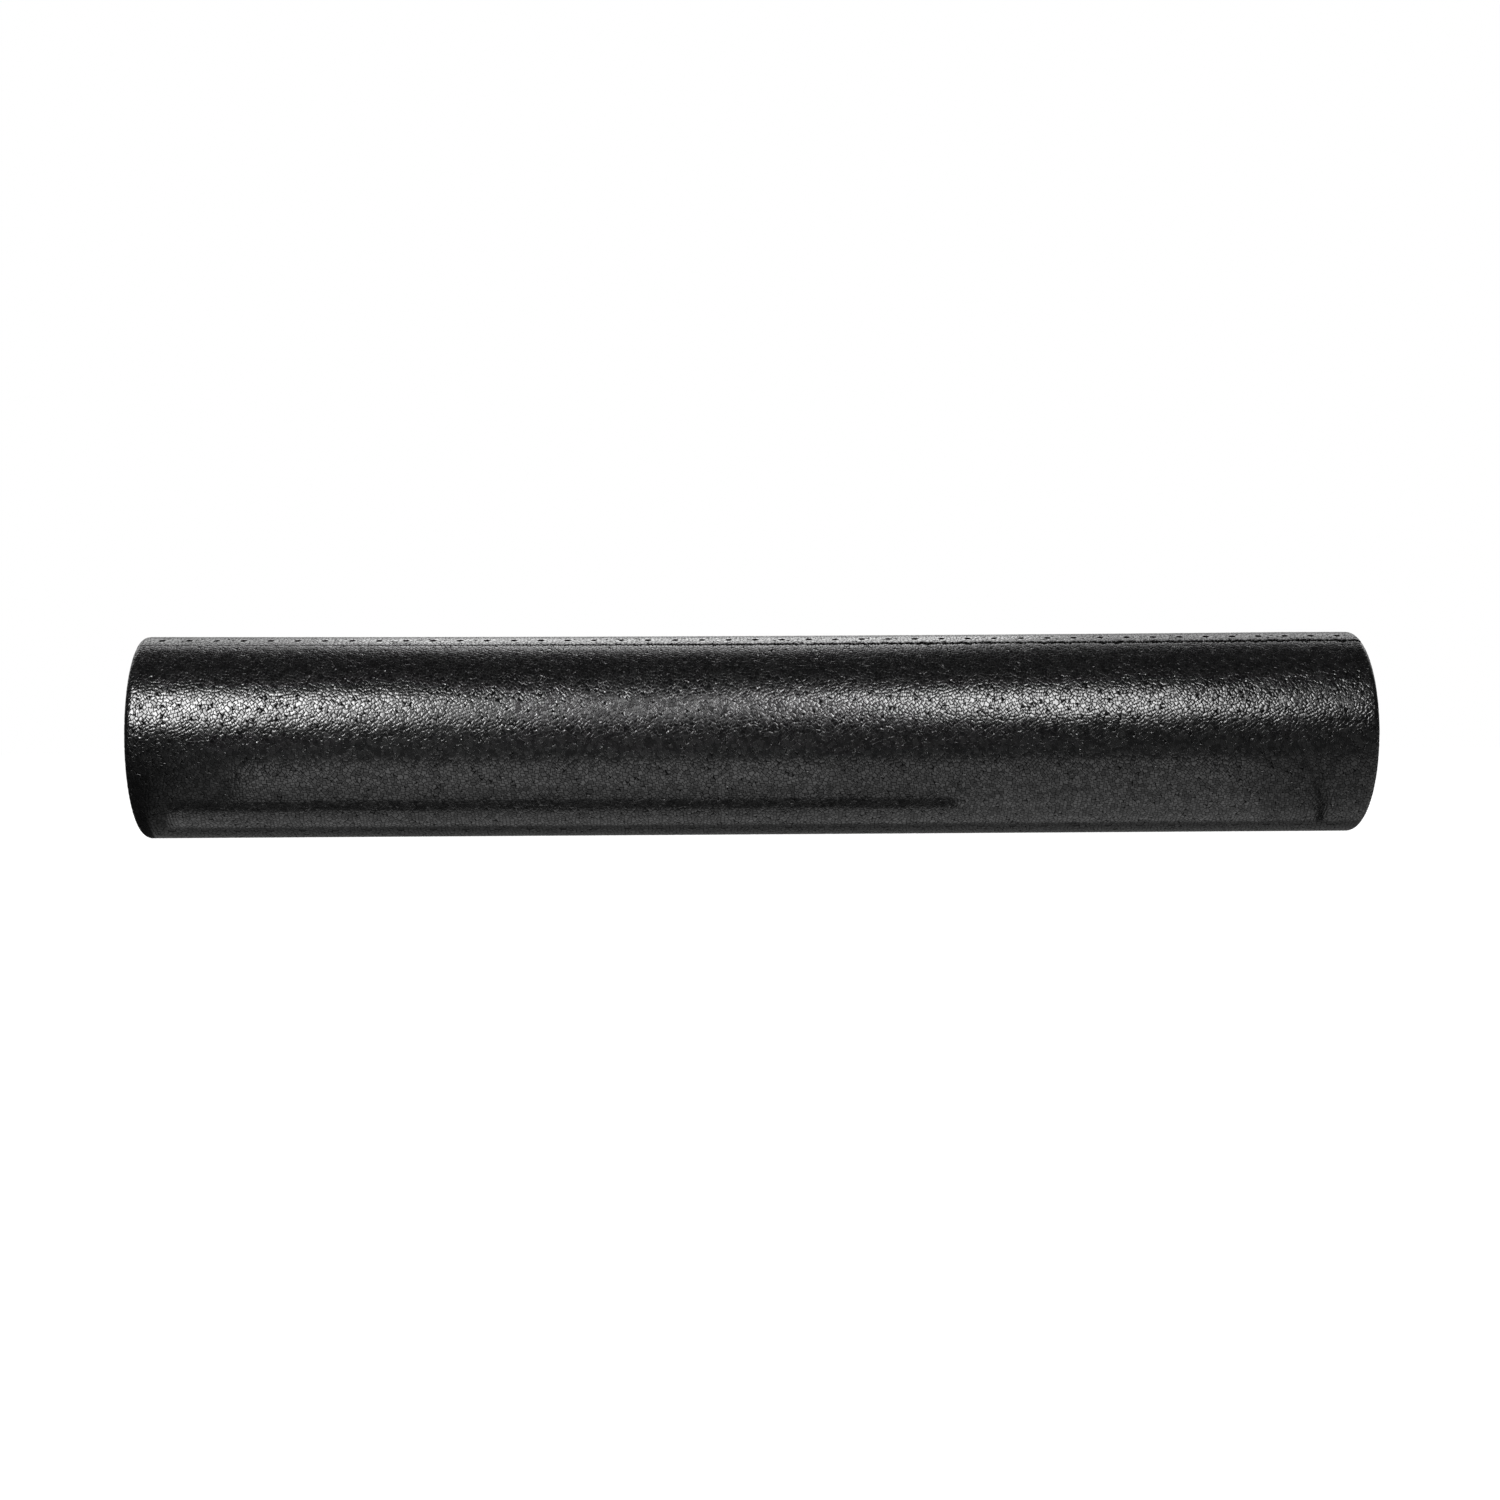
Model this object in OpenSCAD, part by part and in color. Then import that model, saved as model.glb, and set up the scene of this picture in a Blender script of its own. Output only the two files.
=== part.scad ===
// Exercise foam roller, 36 x 6 inch, moulded in one piece from fused foam beads.
// The roller's axis is X, +Z is up and the origin is the centre of the roller.

/* [Roller] */
// Outside diameter of the roller
roller_d = 152.4; // [100:0.1:160]
// Length over the two end faces
roller_length = 914.4; // [300:0.1:920]
// Radius of the rounded edge round each end face
edge_r = 5; // [2:0.5:12]

/* [Parting line] */
// Turn of the mould's parting plane about the axis, up from level at the front, in degrees
parting_angle = 64; // [0:1:90]
// Width of the groove that each side of the parting plane leaves along the barrel
parting_w = 0.8; // [0.4:0.1:2]
// Depth of that groove
parting_depth = 0.4; // [0.2:0.1:1]

/* [Hidden] */
$fn = 96;
roller_r = roller_d / 2;
half_length = roller_length / 2;

// Half of the roller's lengthwise section: the flat ends, the round edges and the barrel.
module half_section() {
  square([roller_r - edge_r, roller_length]);
  translate([0, edge_r])
    square([roller_r, roller_length - 2 * edge_r]);
  for (along = [edge_r, roller_length - edge_r])
    translate([roller_r - edge_r, along])
      circle(r = edge_r);
}

// The plain outside shape: the half section turned about X.
module barrel() {
  translate([-half_length, 0, 0])
    rotate([0, 90, 0])
      rotate_extrude()
        half_section();
}

// The groove where one side of the parting plane meets the skin, at an angle up from level.
module parting_groove(angle) {
  rotate([90 - angle, 0, 0])
    translate([0, 0, roller_r])
      cube([roller_length, parting_w, 2 * parting_depth], center = true);
}

// The roller: one solid of fused beads, with the line that its two-part mould leaves.
module foam_body() {
  color([0.035, 0.035, 0.038])
    difference() {
      barrel();
      parting_groove(parting_angle);
      parting_groove(parting_angle + 180);
    }
}

foam_body();
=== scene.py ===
import math

import bpy
import numpy as np
from mathutils import Euler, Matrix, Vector
from mathutils.geometry import delaunay_2d_cdt


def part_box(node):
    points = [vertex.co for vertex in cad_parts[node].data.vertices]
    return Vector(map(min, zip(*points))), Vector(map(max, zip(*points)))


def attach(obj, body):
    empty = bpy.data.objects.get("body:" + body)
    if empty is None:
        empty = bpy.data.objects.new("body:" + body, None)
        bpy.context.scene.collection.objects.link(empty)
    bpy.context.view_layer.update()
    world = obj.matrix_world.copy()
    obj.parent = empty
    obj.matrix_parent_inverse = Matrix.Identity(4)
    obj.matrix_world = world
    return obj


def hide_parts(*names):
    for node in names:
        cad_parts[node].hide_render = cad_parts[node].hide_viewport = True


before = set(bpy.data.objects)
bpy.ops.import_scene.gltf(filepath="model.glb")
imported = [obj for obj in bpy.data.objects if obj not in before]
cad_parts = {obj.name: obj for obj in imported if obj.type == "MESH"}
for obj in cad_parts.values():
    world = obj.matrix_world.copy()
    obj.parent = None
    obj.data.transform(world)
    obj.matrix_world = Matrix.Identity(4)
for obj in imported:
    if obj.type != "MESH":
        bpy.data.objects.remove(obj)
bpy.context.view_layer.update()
bodyLow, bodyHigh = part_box("foam_body")
dice = np.random.default_rng(36)
print("frame loaded:", ", ".join(sorted(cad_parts)))

shot = {
    "distance": 1.727,
    "turnLeft": 2.27,  # degrees round the roller
    "aim": (-0.40, 0.111, -0.275),  # degrees of tilt, pan and roll away from the roller's centre
    "lens": 54.6,
    "sensor": 36.0,
}


# The camera stands on a circle round the roller and looks at its centre, less the aim's turns.
def makeCamera():
    turn = math.radians(shot["turnLeft"])
    place = Vector((-math.sin(turn), -math.cos(turn), 0)) * shot["distance"]
    cameraData = bpy.data.cameras.new("camera")
    cameraData.lens = shot["lens"]
    cameraData.sensor_width = shot["sensor"]
    camera = bpy.data.objects.new("camera", cameraData)
    camera.rotation_mode = "QUATERNION"
    camera.location = place
    aim = Euler([math.radians(a) for a in shot["aim"]]).to_quaternion()
    camera.rotation_quaternion = (-place).to_track_quat("-Z", "Y") @ aim
    bpy.context.scene.collection.objects.link(camera)
    bpy.context.scene.camera = camera


makeCamera()
bpy.context.scene.view_settings.view_transform = "Standard"
print("camera set")

roller = {
    "radius": (bodyHigh.z - bodyLow.z) / 2,
    "halfLength": bodyHigh.x,
    "edgeRadius": 0.005,
    "flatSteps": 3000,  # steps of the section table on an end face, a rounded edge, the barrel
    "bendSteps": 200,
    "straightSteps": 1500,
    "innermost": 0.00005,  # radius at which the table starts and stops
    "pitch": 0.00295,  # mean distance from bead to bead
    "scatter": 0.8,  # how far a bead strays in its own share of a row
    "relaxRounds": 3,
    "cornerPull": 0.75,  # how far a corner goes from its beads' mean to their circle's centre
    "cornerReach": 0.3,  # and the most it may go, in pitches
}
mould = {
    "partingAngle": 64.0,  # up from level at the front, in degrees
    "ventRadius": 0.0026,
    # angle, spacing, and how open the vents are, which sets their depth and the shade painted in
    # them
    "ventRows": [(72.0, 0.020, 1.0), (-124.0, 0.020, 1.0), (-66.0, 0.024, 0.35)],
    "ventMargin": 0.012,
    "ventClear": 0.3,  # no loose bead this close outside a vent, in pitches
    "markRadius": 0.0085,  # ejector marks, one to each mould half on each end
    "markOut": 0.038,
}


# A point on the skin's straight barrel: the angle goes up from level at the front.
def barrelPoint(x, angle):
    turn = math.radians(angle)
    return (x, -math.cos(turn) * roller["radius"], math.sin(turn) * roller["radius"])


# Nearest point of a rounded cylinder: the point is pulled into the cylinder that is smaller
# by the edge radius, and the skin is one edge radius out from there. Returns skin and normal.
def ontoSkin(points):
    edge = roller["edgeRadius"]
    innerLength = roller["halfLength"] - edge
    innerRadius = roller["radius"] - edge
    out = np.hypot(points[:, 1], points[:, 2])
    shrink = np.minimum(1, innerRadius / np.maximum(out, 1e-9))
    core = np.stack([
        np.clip(points[:, 0], -innerLength, innerLength),
        points[:, 1] * shrink,
        points[:, 2] * shrink,
    ], 1)
    away = points - core
    normal = away / np.linalg.norm(away, axis=1, keepdims=True)
    return core + normal * edge, normal


# The lengthwise section from the middle of the left end to the middle of the right end, as
# place x and radius against the length of the way, with the map's stretch, which is the
# integral of one over the radius.
def sectionTable():
    edge = roller["edgeRadius"]
    innerLength = roller["halfLength"] - edge
    flat = np.linspace(roller["innermost"], roller["radius"] - edge, roller["flatSteps"])
    bend = np.linspace(0, math.pi / 2, roller["bendSteps"])[1:]
    straight = np.linspace(-innerLength, innerLength, roller["straightSteps"])[1:]
    x = np.concatenate([
        np.full(len(flat), -roller["halfLength"]),
        edge - roller["halfLength"] - edge * np.cos(bend),
        straight,
        roller["halfLength"] - edge + edge * np.sin(bend),
        np.full(len(flat) - 1, roller["halfLength"]),
    ])
    radius = np.concatenate([
        flat,
        roller["radius"] - edge + edge * np.sin(bend),
        np.full(len(straight), roller["radius"]),
        roller["radius"] - edge + edge * np.cos(bend),
        flat[::-1][1:],
    ])
    step = np.hypot(np.diff(x), np.diff(radius))
    way = np.concatenate([[0], np.cumsum(step)])
    stretch = np.concatenate([[0], np.cumsum(2 * step / (radius[1:] + radius[:-1]))])
    return x, radius, way, stretch


sectionX, sectionRadius, sectionWay, sectionStretch = sectionTable()
# along grows steadily over the whole section, so a point's place in the table can be found
sectionAlong = sectionX + np.copysign(roller["radius"] - sectionRadius, sectionX)


# Beads in rows round the roller: each row's circumference is cut into whole shares of one
# pitch, and each bead lies at random in its share.
def scatterBeads():
    pitch = roller["pitch"]
    rowStep = pitch * math.sqrt(3) / 2
    rowWay = np.arange(rowStep, sectionWay[-1] - rowStep / 2, rowStep)
    rowRadius = np.interp(rowWay, sectionWay, sectionRadius)
    shares = np.maximum(3, np.round(2 * math.pi * rowRadius / pitch)).astype(int)
    row = np.repeat(np.arange(len(rowWay)), shares)
    place = np.arange(shares.sum()) - np.repeat(np.cumsum(shares) - shares, shares)
    start = np.repeat(dice.random(len(rowWay)), shares)
    stray = (dice.random((2, len(row))) - 0.5) * roller["scatter"]
    way = rowWay[row] + stray[0] * rowStep
    turn = 2 * math.pi * (place + start + stray[1]) / shares[row]
    x = np.interp(way, sectionWay, sectionX)
    out = np.interp(way, sectionWay, sectionRadius)
    return np.stack([x, -out * np.cos(turn), out * np.sin(turn)], 1)


# The centres of the round marks and their radii: rows of steam vents, then the ejector marks.
def markPlaces():
    vents, ventOpen = [], []
    for angle, pitch, howOpen in mould["ventRows"]:
        last = int((roller["halfLength"] - mould["ventMargin"]) / pitch)
        vents += [barrelPoint(i * pitch, angle) for i in range(-last, last + 1)]
        ventOpen += [howOpen] * (2 * last + 1)
    marks = [
        (end * roller["halfLength"], *(side * mould["markOut"] * partingNormal[1:]))
        for end in (-1, 1) for side in (-1, 1)
    ]
    radii = [mould["ventRadius"]] * len(vents) + [mould["markRadius"]] * len(marks)
    return np.array(vents + marks), np.array(radii), np.array(ventOpen)


partingTurn = math.radians(mould["partingAngle"])
partingNormal = np.array([0, math.sin(partingTurn), math.cos(partingTurn)])
markCentre, markRadius, ventOpen = markPlaces()
ventCount = len(ventOpen)


# 0 and 1 are the two mould halves, and 2 and up are the insides of the round marks.
def regionOf(points):
    region = (points @ partingNormal > 0).astype(int)
    square = (points**2).sum(1)[:, None] + (markCentre**2).sum(1) - 2 * points @ markCentre.T
    nearest = (square - markRadius**2).argmin(1)
    inside = square[np.arange(len(points)), nearest] < markRadius[nearest] ** 2
    return np.where(inside, nearest + 2, region)


# The surface is opened out to a plane with angles kept: the angle round the roller stays the
# angle, and the distance from the origin is the exponent of the stretch. Delaunay triangles
# there are the neighbours on the roller. The right end's middle is at infinity, so the open
# rim is closed with the last bead.
def neighbours(beads):
    out = np.hypot(beads[:-1, 1], beads[:-1, 2])
    along = beads[:-1, 0] + np.copysign(roller["radius"] - out, beads[:-1, 0])
    size = np.exp(np.interp(along, sectionAlong, sectionStretch) - sectionStretch[-1] / 2)
    turn = np.arctan2(beads[:-1, 2], -beads[:-1, 1])
    spread = np.stack([size * np.cos(turn), size * np.sin(turn)], 1)
    found = delaunay_2d_cdt([Vector(p) for p in spread.tolist()], [], [], 0, 1e-9, False)
    corners = np.array(found[2])
    start, end = corners.ravel(), np.roll(corners, -1, axis=1).ravel()
    rim = ~np.isin(start * len(beads) + end, end * len(beads) + start)
    cap = np.stack([end[rim], start[rim], np.full(rim.sum(), len(beads) - 1)], 1)
    return np.concatenate([corners, cap])


# The corner where three beads meet lies between their mean and the centre of their circle.
# Where the three are in different regions, it is moved onto the line between the regions.
def beadCorners(beads, triples, region):
    a, b, c = (beads[triples[:, i]] for i in range(3))
    ab, ac = b - a, c - a
    across = np.cross(ab, ac)
    abSquare, acSquare = (ab**2).sum(1)[:, None], (ac**2).sum(1)[:, None]
    circle = np.cross(abSquare * ac - acSquare * ab, across)
    circle = -circle / (2 * (across**2).sum(1)[:, None])
    mean = (ab + ac) / 3
    shift = circle - mean
    reach = np.linalg.norm(shift, axis=1, keepdims=True)
    most = roller["cornerReach"] * roller["pitch"] / np.maximum(reach, 1e-9)
    shift *= np.minimum(roller["cornerPull"], most)
    point = a + mean + shift
    kinds = region[triples]
    mixed = kinds.min(1) != kinds.max(1)
    halves = mixed & (kinds.max(1) < 2)
    point[halves] -= (point[halves] @ partingNormal)[:, None] * partingNormal
    marked = mixed & (kinds.max(1) >= 2)
    mark = kinds.max(1)[marked] - 2
    arm = point[marked] - markCentre[mark]
    arm *= (markRadius[mark] / np.linalg.norm(arm, axis=1))[:, None]
    point[marked] = markCentre[mark] + arm
    return ontoSkin(point)[0], halves, marked


# Scattered beads, less those over a vent, with one bead kept at each vent's centre, relaxed
# by moving every free bead to the mean of its own corners.
def layBeads():
    beads = scatterBeads()
    vents = markCentre[:ventCount]
    gap = (beads**2).sum(1)[:, None] + (vents**2).sum(1) - 2 * beads @ vents.T
    clear = gap.min(1) > (mould["ventRadius"] + mould["ventClear"] * roller["pitch"]) ** 2
    lastBead = [[roller["halfLength"], 0, 0]]
    beads = np.concatenate([vents, beads[clear], lastBead])
    for _ in range(roller["relaxRounds"]):
        triples = neighbours(beads)
        point = beadCorners(beads, triples, regionOf(beads))[0]
        total, count = np.zeros_like(beads), np.zeros(len(beads))
        for i in range(3):
            for axis in range(3):
                total[:, axis] += np.bincount(triples[:, i], point[:, axis], len(beads))
            count += np.bincount(triples[:, i], minlength=len(beads))
        moved = ontoSkin(total / count[:, None])[0]
        beads[ventCount:-1] = moved[ventCount:-1]
    return beads, neighbours(beads)


beadCentres, beadTriples = layBeads()
print("beads laid:", len(beadCentres))

skin = {
    "ringShare": 0.74,  # how much of a bead is its domed top
    "groove": 0.00010,
    "grooveVaries": 0.00010,
    "topVaries": 0.00003,
    "dome": 0.00009,  # how far the rim of a bead's top lies below its middle
    "tilt": 0.010,  # slope of a bead's top, one standard deviation
    "pitShare": 0.035,  # corners that stayed open as a pit
    "pitDepth": (0.00048, 0.00096),
    "pitWidens": 0.10,
    "pitShade": 0.35,  # how much shade is painted on a bead beside a pit, and beside the open parting line
    "partingShade": 0.6,
    "partingOpens": (-0.32, 0.12),  # the parting line widens between these two x
    "partingDepth": (0.00030, 0.00150),
    "partingShare": (0.80, 0.06),  # what is left of the tops beside it
    "ventDepth": 0.0009,
    "ventShare": 0.86,
    "markDepth": 0.0004,
    "step": 0.00012,  # how far one mould half's skin stands back at the parting line
    "stepFades": 0.012,
    "sink": 0.0018,  # how far the top of the roller has sunk, most at sinkMiddle
    "sinkMiddle": -0.12,
    "sinkReach": 0.52,
}


# How far the parting line stands open, 0 to 1: it widens steadily along the barrel, and closes
# again over the rounded edges, so that it is thin on the end faces.
def openingAt(points):
    out = np.hypot(points[:, 1], points[:, 2])
    onBarrel = np.interp(out, (roller["radius"] - roller["edgeRadius"], roller["radius"]), (0, 1))
    return np.interp(points[:, 0], skin["partingOpens"], (0, 1)) * onBarrel


# Each bead is a centre, a ring of points part of the way to its corners, and the corners it
# shares with its neighbours. A point is the skin less its depth along the normal: little at
# the centre and ring, deep at the corners. The top side sinks straight down by a parabola
# along the roller times the upward part of the normal.
def rollerMesh():
    beads, triples = beadCentres, beadTriples
    beadCount, tripleCount = len(beads), len(triples)
    region = regionOf(beads)
    corner, onParting, onMark = beadCorners(beads, triples, region)

    depthOfBead = np.abs(dice.normal(0, skin["topVaries"], beadCount))
    farFromLine = np.abs(beads @ partingNormal)
    fade = np.clip(1 - farFromLine / skin["stepFades"], 0, 1)
    depthOfBead += np.where(beads @ partingNormal > 0, 0, skin["step"] * fade)
    depthOfBead += np.where(region >= 2, skin["markDepth"], 0)
    depthOfBead[:ventCount] = skin["ventDepth"] * ventOpen
    tilt = dice.normal(0, skin["tilt"], (beadCount, 3))
    tilt[:ventCount] = 0

    pit = (dice.random(tripleCount) < skin["pitShare"]) & ~onMark & ~onParting
    depthOfCorner = skin["groove"] + skin["grooveVaries"] * dice.random(tripleCount)
    depthOfCorner += depthOfBead[triples].min(1)
    depthOfCorner[pit] = np.interp(dice.random(pit.sum()), (0, 1), skin["pitDepth"])
    opening = openingAt(corner)
    lineDepth = np.interp(opening, (0, 1), skin["partingDepth"])
    depthOfCorner[onParting] = lineDepth[onParting]

    ringShare = np.full((tripleCount, 3), skin["ringShare"])
    ringShare[pit] -= skin["pitWidens"]
    ringShare[onParting] = np.interp(opening, (0, 1), skin["partingShare"])[onParting, None]
    isVent = triples < ventCount
    ringShare[isVent] = skin["ventShare"]
    middle = beads[triples]
    arm = (corner[:, None] - middle) * ringShare[..., None]
    ringDepth = depthOfBead[triples] + skin["dome"] + (arm * tilt[triples]).sum(2)
    ringDepth[isVent] = skin["ventDepth"] * ventOpen[triples[isVent]]

    points = np.concatenate([beads, (middle + arm).reshape(-1, 3), corner])
    depth = np.concatenate([depthOfBead, ringDepth.ravel(), depthOfCorner])
    place, normal = ontoSkin(points)
    place -= normal * np.maximum(depth, 0)[:, None]
    away = (place[:, 0] - skin["sinkMiddle"]) / skin["sinkReach"]
    place[:, 2] -= skin["sink"] * np.maximum(0, 1 - away**2) * np.maximum(0, normal[:, 2])

    # Painted shade: hollowShade runs from 0 to 1 and darkens the colour and takes away the shine.
    # It is 1 at every corner deep in a groove, and it rises on the rings beside pits, in the
    # vents and along the open parting line.
    ringShade = np.tile(np.where(onParting, opening, pit * skin["pitShade"])[:, None], 3)
    ringShade[isVent] = ventOpen[triples[isVent]]
    tone = dice.random(beadCount)
    beadTone = np.concatenate([tone, tone[triples].ravel(), tone[triples].mean(1)])
    byLine = np.bincount(triples[onParting].ravel(), minlength=beadCount) > 0
    beadShade = byLine * openingAt(beads) * skin["partingShade"]
    beadShade[:ventCount] = ventOpen
    hollowShade = np.concatenate([beadShade, ringShade.ravel(), np.ones(tripleCount)])

    # half edges: each side of each triple, with the same side seen from its other triple
    start, end = triples.ravel(), np.roll(triples, -1, axis=1).ravel()
    order = np.argsort(start * beadCount + end)
    other = order[np.searchsorted((start * beadCount + end)[order], end * beadCount + start)]
    nextInTriple = other // 3 * 3 + (other % 3 + 1) % 3
    ringHere = beadCount + np.arange(3 * tripleCount)
    ringThere = beadCount + nextInTriple
    cornerHere = beadCount + 3 * tripleCount + np.arange(3 * tripleCount) // 3
    cornerThere = beadCount + 3 * tripleCount + other // 3
    tops = np.stack([start, ringThere, ringHere], 1)
    sides = np.stack([ringThere, cornerThere, cornerHere, ringHere], 1)
    return place, tops, sides, beadTone, hollowShade


def addRoller():
    place, tops, sides, beadTone, hollowShade = rollerMesh()
    mesh = bpy.data.meshes.new("foamRoller")
    mesh.vertices.add(len(place))
    mesh.vertices.foreach_set("co", place.ravel().astype(np.float32))
    loops = np.concatenate([tops.ravel(), sides.ravel()])
    starts = np.concatenate([
        np.arange(len(tops)) * 3,
        len(tops) * 3 + np.arange(len(sides)) * 4,
    ])
    mesh.loops.add(len(loops))
    mesh.loops.foreach_set("vertex_index", loops.astype(np.int32))
    mesh.polygons.add(len(starts))
    mesh.polygons.foreach_set("loop_start", starts.astype(np.int32))
    mesh.update(calc_edges=True)
    # the tops are smooth and the grooves are sharp
    mesh.polygons.foreach_set("use_smooth", np.arange(len(starts)) < len(tops))
    for name, values in (("beadTone", beadTone), ("hollowShade", hollowShade)):
        layer = mesh.attributes.new(name, "FLOAT", "POINT")
        layer.data.foreach_set("value", values.astype(np.float32))
    mesh.update()
    piece = bpy.data.objects.new("foamRoller", mesh)
    bpy.context.scene.collection.objects.link(piece)
    return piece


foamRoller = addRoller()
print("skin made:", len(foamRoller.data.vertices), "points")

foam = {
    "black": (0.0012, 0.0012, 0.0013, 1),
    # painted shade: the colour deep in the grooves, pits and vents
    "hollowShadeBlack": (0.0005, 0.0005, 0.0005, 1),
    "shine": (0.5, 0.03),  # on the tops and in the hollows, where the low shine is painted shade
    "shineVaries": (0.58, 1.42),  # from bead to bead
    "paintedShadeFrom": 0.8,  # how far into a hollow the painted shade has taken all the shine
    "roughness": (0.14, 0.22),  # from bead to bead
    "grooveRoughness": 0.75,
    "wrinkleScale": 1800.0,
    "wrinkleDetail": 2.0,
    "wrinkle": 0.12,
    "wrinkleHeight": 0.0001,
}


def foamMaterial():
    material = bpy.data.materials.new("fusedBeadFoam")
    material.use_nodes = True
    nodes, links = material.node_tree.nodes, material.node_tree.links
    shader = nodes["Principled BSDF"]

    def attribute(name):
        node = nodes.new("ShaderNodeAttribute")
        node.attribute_name = name
        return node.outputs["Fac"]

    # hollowShade paints shade into the grooves, pits, vents and parting line with a darker black
    # and less shine there, and it also makes the surface rougher there.
    hollowShade, tone = attribute("hollowShade"), attribute("beadTone")
    colour = nodes.new("ShaderNodeMix")
    colour.data_type = "RGBA"
    colour.inputs["A"].default_value = foam["black"]
    colour.inputs["B"].default_value = foam["hollowShadeBlack"]
    links.new(hollowShade, colour.inputs["Factor"])
    links.new(colour.outputs["Result"], shader.inputs["Base Color"])

    def spread(value, ends, full=1.0):
        node = nodes.new("ShaderNodeMapRange")
        node.inputs["From Max"].default_value = full
        node.inputs["To Min"].default_value, node.inputs["To Max"].default_value = ends
        links.new(value, node.inputs["Value"])
        return node.outputs["Result"]

    shine = nodes.new("ShaderNodeMath")
    shine.operation = "MULTIPLY"
    links.new(spread(hollowShade, foam["shine"], foam["paintedShadeFrom"]), shine.inputs[0])
    links.new(spread(tone, foam["shineVaries"]), shine.inputs[1])
    links.new(shine.outputs["Value"], shader.inputs["Specular IOR Level"])
    rough = nodes.new("ShaderNodeMix")
    rough.inputs["B"].default_value = foam["grooveRoughness"]
    links.new(hollowShade, rough.inputs["Factor"])
    links.new(spread(tone, foam["roughness"]), rough.inputs["A"])
    links.new(rough.outputs["Result"], shader.inputs["Roughness"])

    place = nodes.new("ShaderNodeTexCoord")
    wrinkle = nodes.new("ShaderNodeTexNoise")
    wrinkle.inputs["Scale"].default_value = foam["wrinkleScale"]
    wrinkle.inputs["Detail"].default_value = foam["wrinkleDetail"]
    links.new(place.outputs["Object"], wrinkle.inputs["Vector"])
    bump = nodes.new("ShaderNodeBump")
    bump.inputs["Strength"].default_value = foam["wrinkle"]
    bump.inputs["Distance"].default_value = foam["wrinkleHeight"]
    links.new(wrinkle.outputs["Fac"], bump.inputs["Height"])
    links.new(bump.outputs["Normal"], shader.inputs["Normal"])
    return material


foamRoller.data.materials.append(foamMaterial())
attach(foamRoller, "root")
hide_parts("foam_body")
print("foam finished")

studio = {
    "floorSize": 16.0,
    "floorGlow": 1.0,
    "floorShade": 0.3,
    "ceiling": 0.08,  # what the skin reflects where no card stands
    "backDistance": 1.3,
    "cardLift": 0.0002,
}
# Painted reflections: sheets seen only in the roller's skin, bright ones for the floor round it
# and dark ones for its shade.
floorCards = {  # left, right, near and far edge, and how bright it is
    "farLeft": (-1.5, -0.47, -3.0, -0.17, 0.03),
    "farFloor": (-0.47, 0.05, -3.0, -0.17, 0.33),
    "farRight": (0.05, 1.5, -3.0, -0.17, 0.22),
    "leftFloor": (-0.435, -0.385, -0.17, -0.066, 0.40),
    "nearFloor": (-0.385, 0.05, -0.17, -0.09, 1.50),
    "nearRight": (0.05, 0.38, -0.17, -0.09, 1.15),
    "closeFloor": (-0.385, 0.38, -0.09, -0.066, 1.00),
    "seamShade": (-0.435, 0.15, -0.066, -0.051, 0.10),
    "rightSeam": (0.15, 0.38, -0.066, -0.051, 1.15),
    "underFloor": (-0.435, 0.38, -0.051, -0.030, 0.85),
    "rightFloor": (0.38, 0.422, -0.17, -0.030, 0.65),
    "streakShade": (0.422, 0.429, -0.075, -0.030, 0.03),
    "endFloor": (0.429, 1.5, -0.17, -0.030, 0.65),
    "deepFloor": (-0.435, 1.5, -0.030, 0.02, 0.20),
    "leftBlend": (-0.449, -0.435, -0.17, 0.02, 0.22),
    "leftShade": (-1.5, -0.449, -0.17, 0.02, 0.04),
}
backCards = {  # left, right, bottom and top edge, and how bright it is
    "backLow": (-2.5, 2.5, 0.0, 0.70, 0.5),
    "backFarLeft": (-2.5, -0.55, 0.70, 2.0, 2.0),
    "backMiddle": (-0.55, 0.45, 0.70, 2.2, 3.6),
    "backRight": (0.45, 2.5, 0.70, 1.9, 1.7),
    "backHigh": (-0.45, 0.50, 2.2, 3.6, 1.0),
}
softboxes = [  # turn to the right, height angle, distance, size across and up, brightness
    (-29.0, 28.8, 1.89, (0.63, 1.03), 24.0),
    (-9.0, 31.0, 1.68, (0.53, 0.90), 2.0),
    (18.3, 33.1, 1.785, (0.53, 0.88), 18.2),
]


def glowMaterial(name, glow, shade):
    material = bpy.data.materials.new(name)
    material.use_nodes = True
    shader = material.node_tree.nodes["Principled BSDF"]
    shader.inputs["Base Color"].default_value = (shade, shade, shade, 1)
    shader.inputs["Roughness"].default_value = 1.0
    shader.inputs["Specular IOR Level"].default_value = 0.0
    shader.inputs["Emission Color"].default_value = (1, 1, 1, 1)
    shader.inputs["Emission Strength"].default_value = glow
    return material


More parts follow.
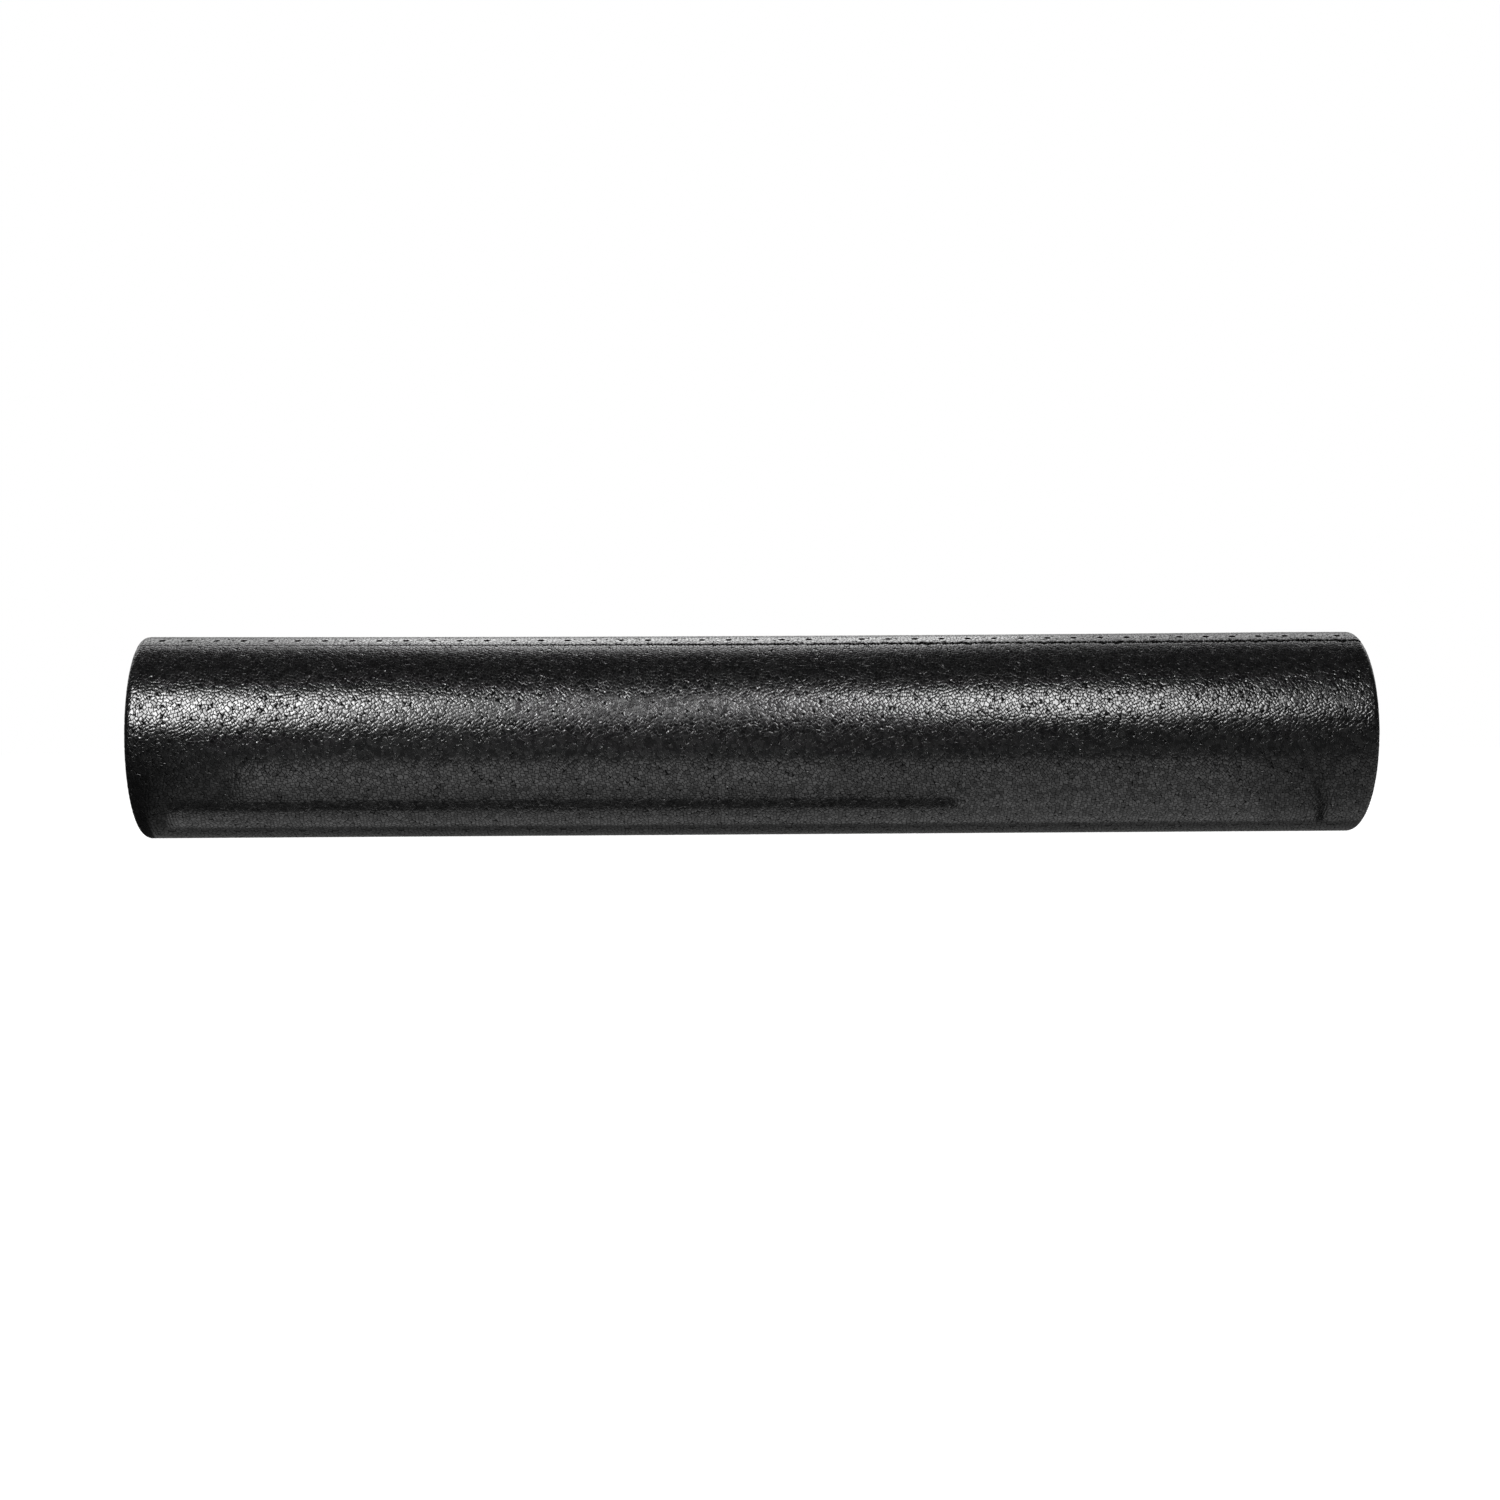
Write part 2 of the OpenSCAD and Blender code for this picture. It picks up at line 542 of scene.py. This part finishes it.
# A sheet is a corner and two sides.
def addSheet(name, corner, right, up, glow, shade=0.0):
    corner, right, up = Vector(corner), Vector(right), Vector(up)
    mesh = bpy.data.meshes.new(name)
    points = [corner, corner + right, corner + right + up, corner + up]
    mesh.from_pydata(points, [], [(0, 1, 2, 3)])
    mesh.materials.append(glowMaterial(name, glow, shade))
    sheet = bpy.data.objects.new(name, mesh)
    bpy.context.scene.collection.objects.link(sheet)
    return sheet


# The cards are painted reflections, bright and dark: they stand only in the roller's reflections,
# and the view past them stays plain and pale.
def addStage():
    size = studio["floorSize"]
    floor = addSheet("floor", (-size / 2, -size / 2, bodyLow.z), (size, 0, 0), (0, size, 0),
                     studio["floorGlow"], studio["floorShade"])
    floor.visible_glossy = False
    found = []
    for name, (left, right, near, far, glow) in floorCards.items():
        corner = (left, near, bodyLow.z + studio["cardLift"])
        found.append(addSheet(name, corner, (right - left, 0, 0), (0, far - near, 0), glow))
    for name, (left, right, bottom, top, glow) in backCards.items():
        corner = (left, studio["backDistance"], bottom)
        found.append(addSheet(name, corner, (right - left, 0, 0), (0, 0, top - bottom), glow))
    for card in found:
        card.visible_camera = False
        card.visible_shadow = False
        card.visible_diffuse = False


# White where the camera looks past the stage, dim in everything else's light.
def addSurroundings():
    world = bpy.data.worlds.new("studio")
    world.use_nodes = True
    nodes, links = world.node_tree.nodes, world.node_tree.links
    background = nodes["Background"]
    path = nodes.new("ShaderNodeLightPath")
    brightness = nodes.new("ShaderNodeMapRange")
    brightness.inputs["To Min"].default_value = studio["ceiling"]
    links.new(path.outputs["Is Camera Ray"], brightness.inputs["Value"])
    links.new(brightness.outputs["Result"], background.inputs["Strength"])
    background.inputs["Color"].default_value = (1, 1, 1, 1)
    bpy.context.scene.world = world


def addSoftboxes():
    for number, (turn, height, distance, size, brightness) in enumerate(softboxes):
        turn, height = math.radians(turn), math.radians(height)
        lamp = bpy.data.lights.new(f"softbox{number}", "AREA")
        lamp.shape = "RECTANGLE"
        lamp.size, lamp.size_y = size
        lamp.energy = brightness * math.pi * size[0] * size[1]
        box = bpy.data.objects.new(f"softbox{number}", lamp)
        box.location = distance * Vector((
            math.sin(turn) * math.cos(height),
            -math.cos(turn) * math.cos(height),
            math.sin(height),
        ))
        box.rotation_mode = "QUATERNION"
        box.rotation_quaternion = (-box.location).to_track_quat("-Z", "Y")
        bpy.context.scene.collection.objects.link(box)


addStage()
addSurroundings()
addSoftboxes()
print("stage and light set")
